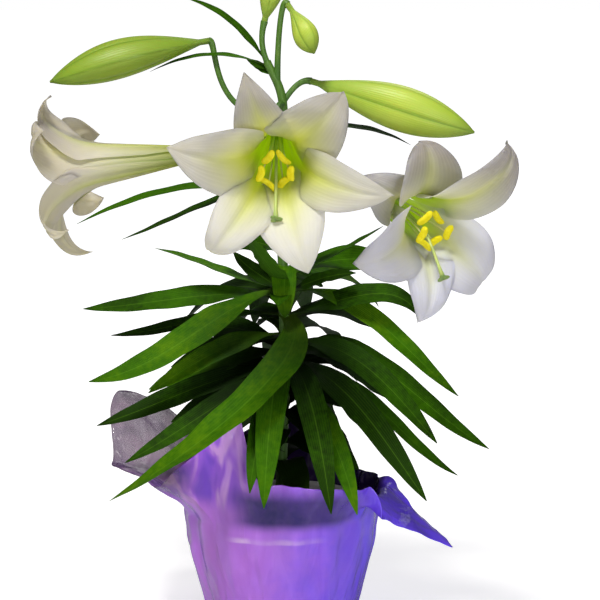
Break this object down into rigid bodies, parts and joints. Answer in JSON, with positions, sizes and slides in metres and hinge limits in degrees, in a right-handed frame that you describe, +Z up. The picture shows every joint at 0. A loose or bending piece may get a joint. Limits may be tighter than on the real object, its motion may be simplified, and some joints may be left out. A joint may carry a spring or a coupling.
{
  "type": "potted lily",
  "caption": "Trumpet lily in flower, with a leafy stem, open white blooms and green buds, in a plastic pot dressed in purple film.",
  "frame": {"origin": "middle of the underside of the film cover, on the surface that the pot stands on", "axes": "+Z up along the pot's axis, -Y towards the side that the front bloom faces, +X to the viewer's right from there"},
  "size_m": [0.3791, 0.3553, 0.5712],
  "materials": {
    "film": "gloss",
    "pot_plastic": "satin",
    "soil": "matte",
    "bulb": "matte",
    "foliage": "satin",
    "petals": "satin",
    "stamens": "matte",
    "pistil": "satin",
    "buds": "satin"
  },
  "bodies": {
    "root": {"film_cover": "film", "nursery_pot": "pot_plastic", "soil": "soil", "bulb": "bulb", "leafy_stem": "foliage", "bloom_front": "petals", "bloom_left": "petals", "bloom_right": "petals", "stamens_front": "stamens", "stamens_left": "stamens", "stamens_right": "stamens", "pistil_front": "pistil", "pistil_left": "pistil", "pistil_right": "pistil", "bud_left": "buds", "bud_right": "buds", "bud_top": "buds", "bud_nodding": "buds"}
  },
  "joints": []
}
